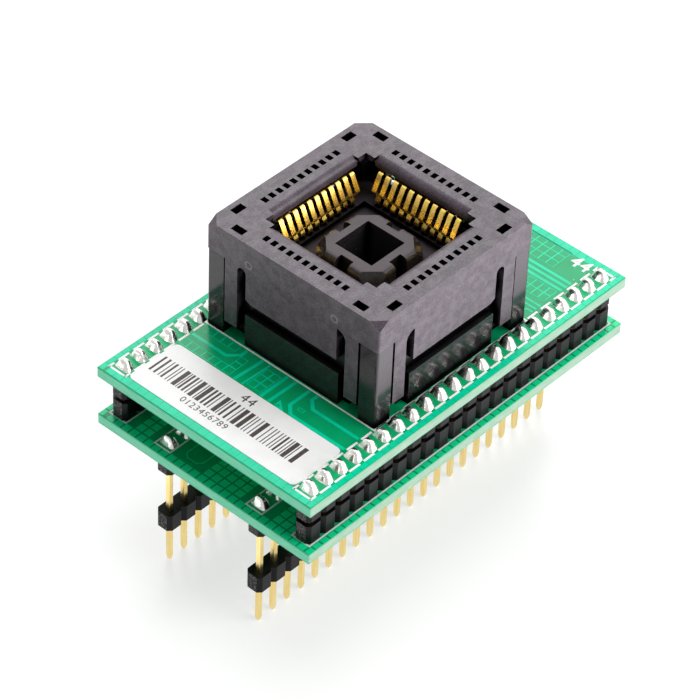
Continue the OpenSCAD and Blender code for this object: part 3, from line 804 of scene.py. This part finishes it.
def off_the_lip(edge):
    """False for the thin lip round the pillars and the pockets behind it."""
    on_lip = all(abs(vert.co.z - skirt_z) < skirt_slack for vert in edge.verts)
    in_pocket = any(abs(abs(vert.co[axis]) - lip_face) < same_place
                    for vert in edge.verts for axis in (0, 1))
    return not on_lip and not in_pocket


soften(bm, corner_round, upright_corner(lip_face), corner_steps)
soften(bm, cover_edge, off_the_lip)
piece("chip_socket_cover", bm, "cover", cover_grey, ["socket_cover"])

# Label: white coated paper with rounded corners, stuck down between the solder rows. It has a
# printed bar pattern of its own with plain figures.
label_low, label_high = span("label")
label_corner = 0.8
label_corner_steps = 4
print_height = 0.012
bars_low_x = -25.0
bars_high_x = -21.9
bars_low_y = -10.8
bars_high_y = 12.8
bar_widths = (0.14, 0.14, 0.3, 0.6)
bar_gaps = (0.18, 0.3, 0.3, 0.45)
label_figures = (("0123456789", 1.0, -26.4, 6.4), ("44", 1.5, -21.3, 1.4))


def paper_finish():
    """Coated paper, faintly uneven."""
    made, place = new_finish("label_paper", IOR=1.45, Roughness=0.42)
    place.noise(0.4, 3.0).ramp(0.3, 0.7).mix(shade(244, 244, 243), shade(249, 249, 248)).to("Base Color")
    place.noise(0.25, 2.0).bump(0.03).to("Normal")
    return made


middle = (label_low + label_high) / 2
size = label_high - label_low
label_place = Matrix.Translation((middle.x, middle.y, label_low.z)) @ Matrix.Diagonal((size.x, size.y, 1, 1))
bm = bmesh.new()
bmesh.ops.create_grid(bm, x_segments=1, y_segments=1, size=0.5, matrix=label_place)
bmesh.ops.bevel(bm, geom=bm.verts[:], offset=label_corner, offset_type="OFFSET",
                segments=label_corner_steps, profile=0.5, affect="VERTICES", material=-1)
raise_faces(bm, bm.faces[:], size.z)
piece("label_paper", bm, "socket_board", paper_finish(), ["label"])

bm = bmesh.new()
place_y = bars_low_y
while place_y < bars_high_y:
    width = chance.choice(bar_widths)
    bar_y = place_y + width / 2
    run(bm, ((bars_low_x, bar_y), (bars_high_x, bar_y)), width, label_high.z, print_height)
    place_y += width + chance.choice(bar_gaps)
for words, height, x, y in label_figures:
    figures_place = Matrix.Translation((x, y, label_high.z)) @ quarter_turn
    raised_number(bm, words, height, 0.0, figures_place, print_height)
piece("label_print", bm, "socket_board",
      ink_finish("label_ink", shade(64, 54, 51), shade(84, 74, 71)))

# Studio: a white floor under the part, a large soft lamp overhead, one at the right and one behind,
# and a white surround that is darker on the label's side. In reflections the floor shows a painted glow with
# a painted shadow of the part.
floor_half = 1.5
floor_seen = 0.55


def even(level):
    """A neutral light of this level, where 1 is white."""
    return (level, level, level, 1.0)


floor = bpy.data.objects.new("floor", bpy.data.meshes.new("floor"))
bm = bmesh.new()
bmesh.ops.create_grid(bm, x_segments=1, y_segments=1, size=floor_half)
bm.to_mesh(floor.data)
bm.free()
scene.collection.objects.link(floor)
floor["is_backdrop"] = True

floor_white, floor_place = new_finish("floor_white", Roughness=0.35, Base_Color=shade(244, 244, 244))
tree = floor_white.node_tree
lit = Field(tree, tree.nodes["Principled BSDF"].outputs[0])
seen_by_camera = lit.node("LightPath", output="Is Camera Ray")
seen_by_gloss = lit.node("LightPath", output="Is Glossy Ray")
# Seen in reflections, the floor is a painted glow up to 3.8 times white with a purple cast. It is painted
# down to plain white near the pins as a painted shadow of the part, and to 1.8 times white on the label's
# side.
floor_glow_and_painted_shadow = floor_place.along(1).ramp(-43.0, -31.0).mix((3.8, 3.5, 3.8, 1.0), even(1.0))
mirrored = floor_place.along(0).ramp(-42.0, -30.0).mix(even(1.8), floor_glow_and_painted_shadow)
glow = lit.node("Emission", inputs={"Color": seen_by_gloss.mix(even(1.2), mirrored)})
shown = lit.node("MixShader", inputs={0: floor_seen * seen_by_camera + seen_by_gloss, 1: lit, 2: glow})
tree.links.new(shown.socket, tree.nodes["Material Output"].inputs["Surface"])
floor.data.materials.append(floor_white)

target = Vector((-5.320, -2.163, 27.2)) * mm
lamps = (("overhead", (0.08, 0.06, 1.0), 0.6, 0.3, 1.5),
         ("right", (0.4, -0.85, 0.5), 0.8, 0.6, 4.8),
         ("back", (0.566, 0.487, 0.665), 0.9, 0.38, 2.1))
for name, direction, distance, size, power in lamps:
    light = bpy.data.lights.new(name, "AREA")
    light.size = size
    light.energy = power
    lamp = bpy.data.objects.new(name, light)
    lamp.location = target + Vector(direction).normalized() * distance
    lamp.rotation_euler = (-Vector(direction)).to_track_quat("-Z", "Y").to_euler()
    scene.collection.objects.link(lamp)

surround = bpy.data.worlds.new("surround")
surround.use_nodes = True
scene.world = surround
sky = Field(surround.node_tree)
label_side = Vector((-0.95, -0.3, 0.0))
shaded = sky.node("TexCoord", output="Generated").dot(label_side).ramp(-0.3, 0.7)
mirrored = shaded.mix(even(1.2), even(0.7))
seen = sky.node("LightPath", output="Is Glossy Ray").mix(even(0.28), mirrored)
seen = sky.node("LightPath", output="Is Camera Ray").mix(seen, even(1.0))
surround.node_tree.links.new(seen.socket, surround.node_tree.nodes["Background"].inputs["Color"])

forward = Vector((0.565829, 0.487466, -0.664992))
camera_distance = 0.447577
camera_roll = radians(2.5105)
camera = bpy.data.objects.new("camera", bpy.data.cameras.new("camera"))
camera.location = target - forward * camera_distance
aim = forward.to_track_quat("-Z", "Y").to_matrix() @ Matrix.Rotation(camera_roll, 3, "Z")
camera.rotation_euler = aim.to_euler()
camera.data.sensor_width = 36.0
camera.data.lens = 189.079
camera.data.clip_start = 0.01
scene.collection.objects.link(camera)
scene.camera = camera
scene.view_settings.view_transform = "Standard"

low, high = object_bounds()
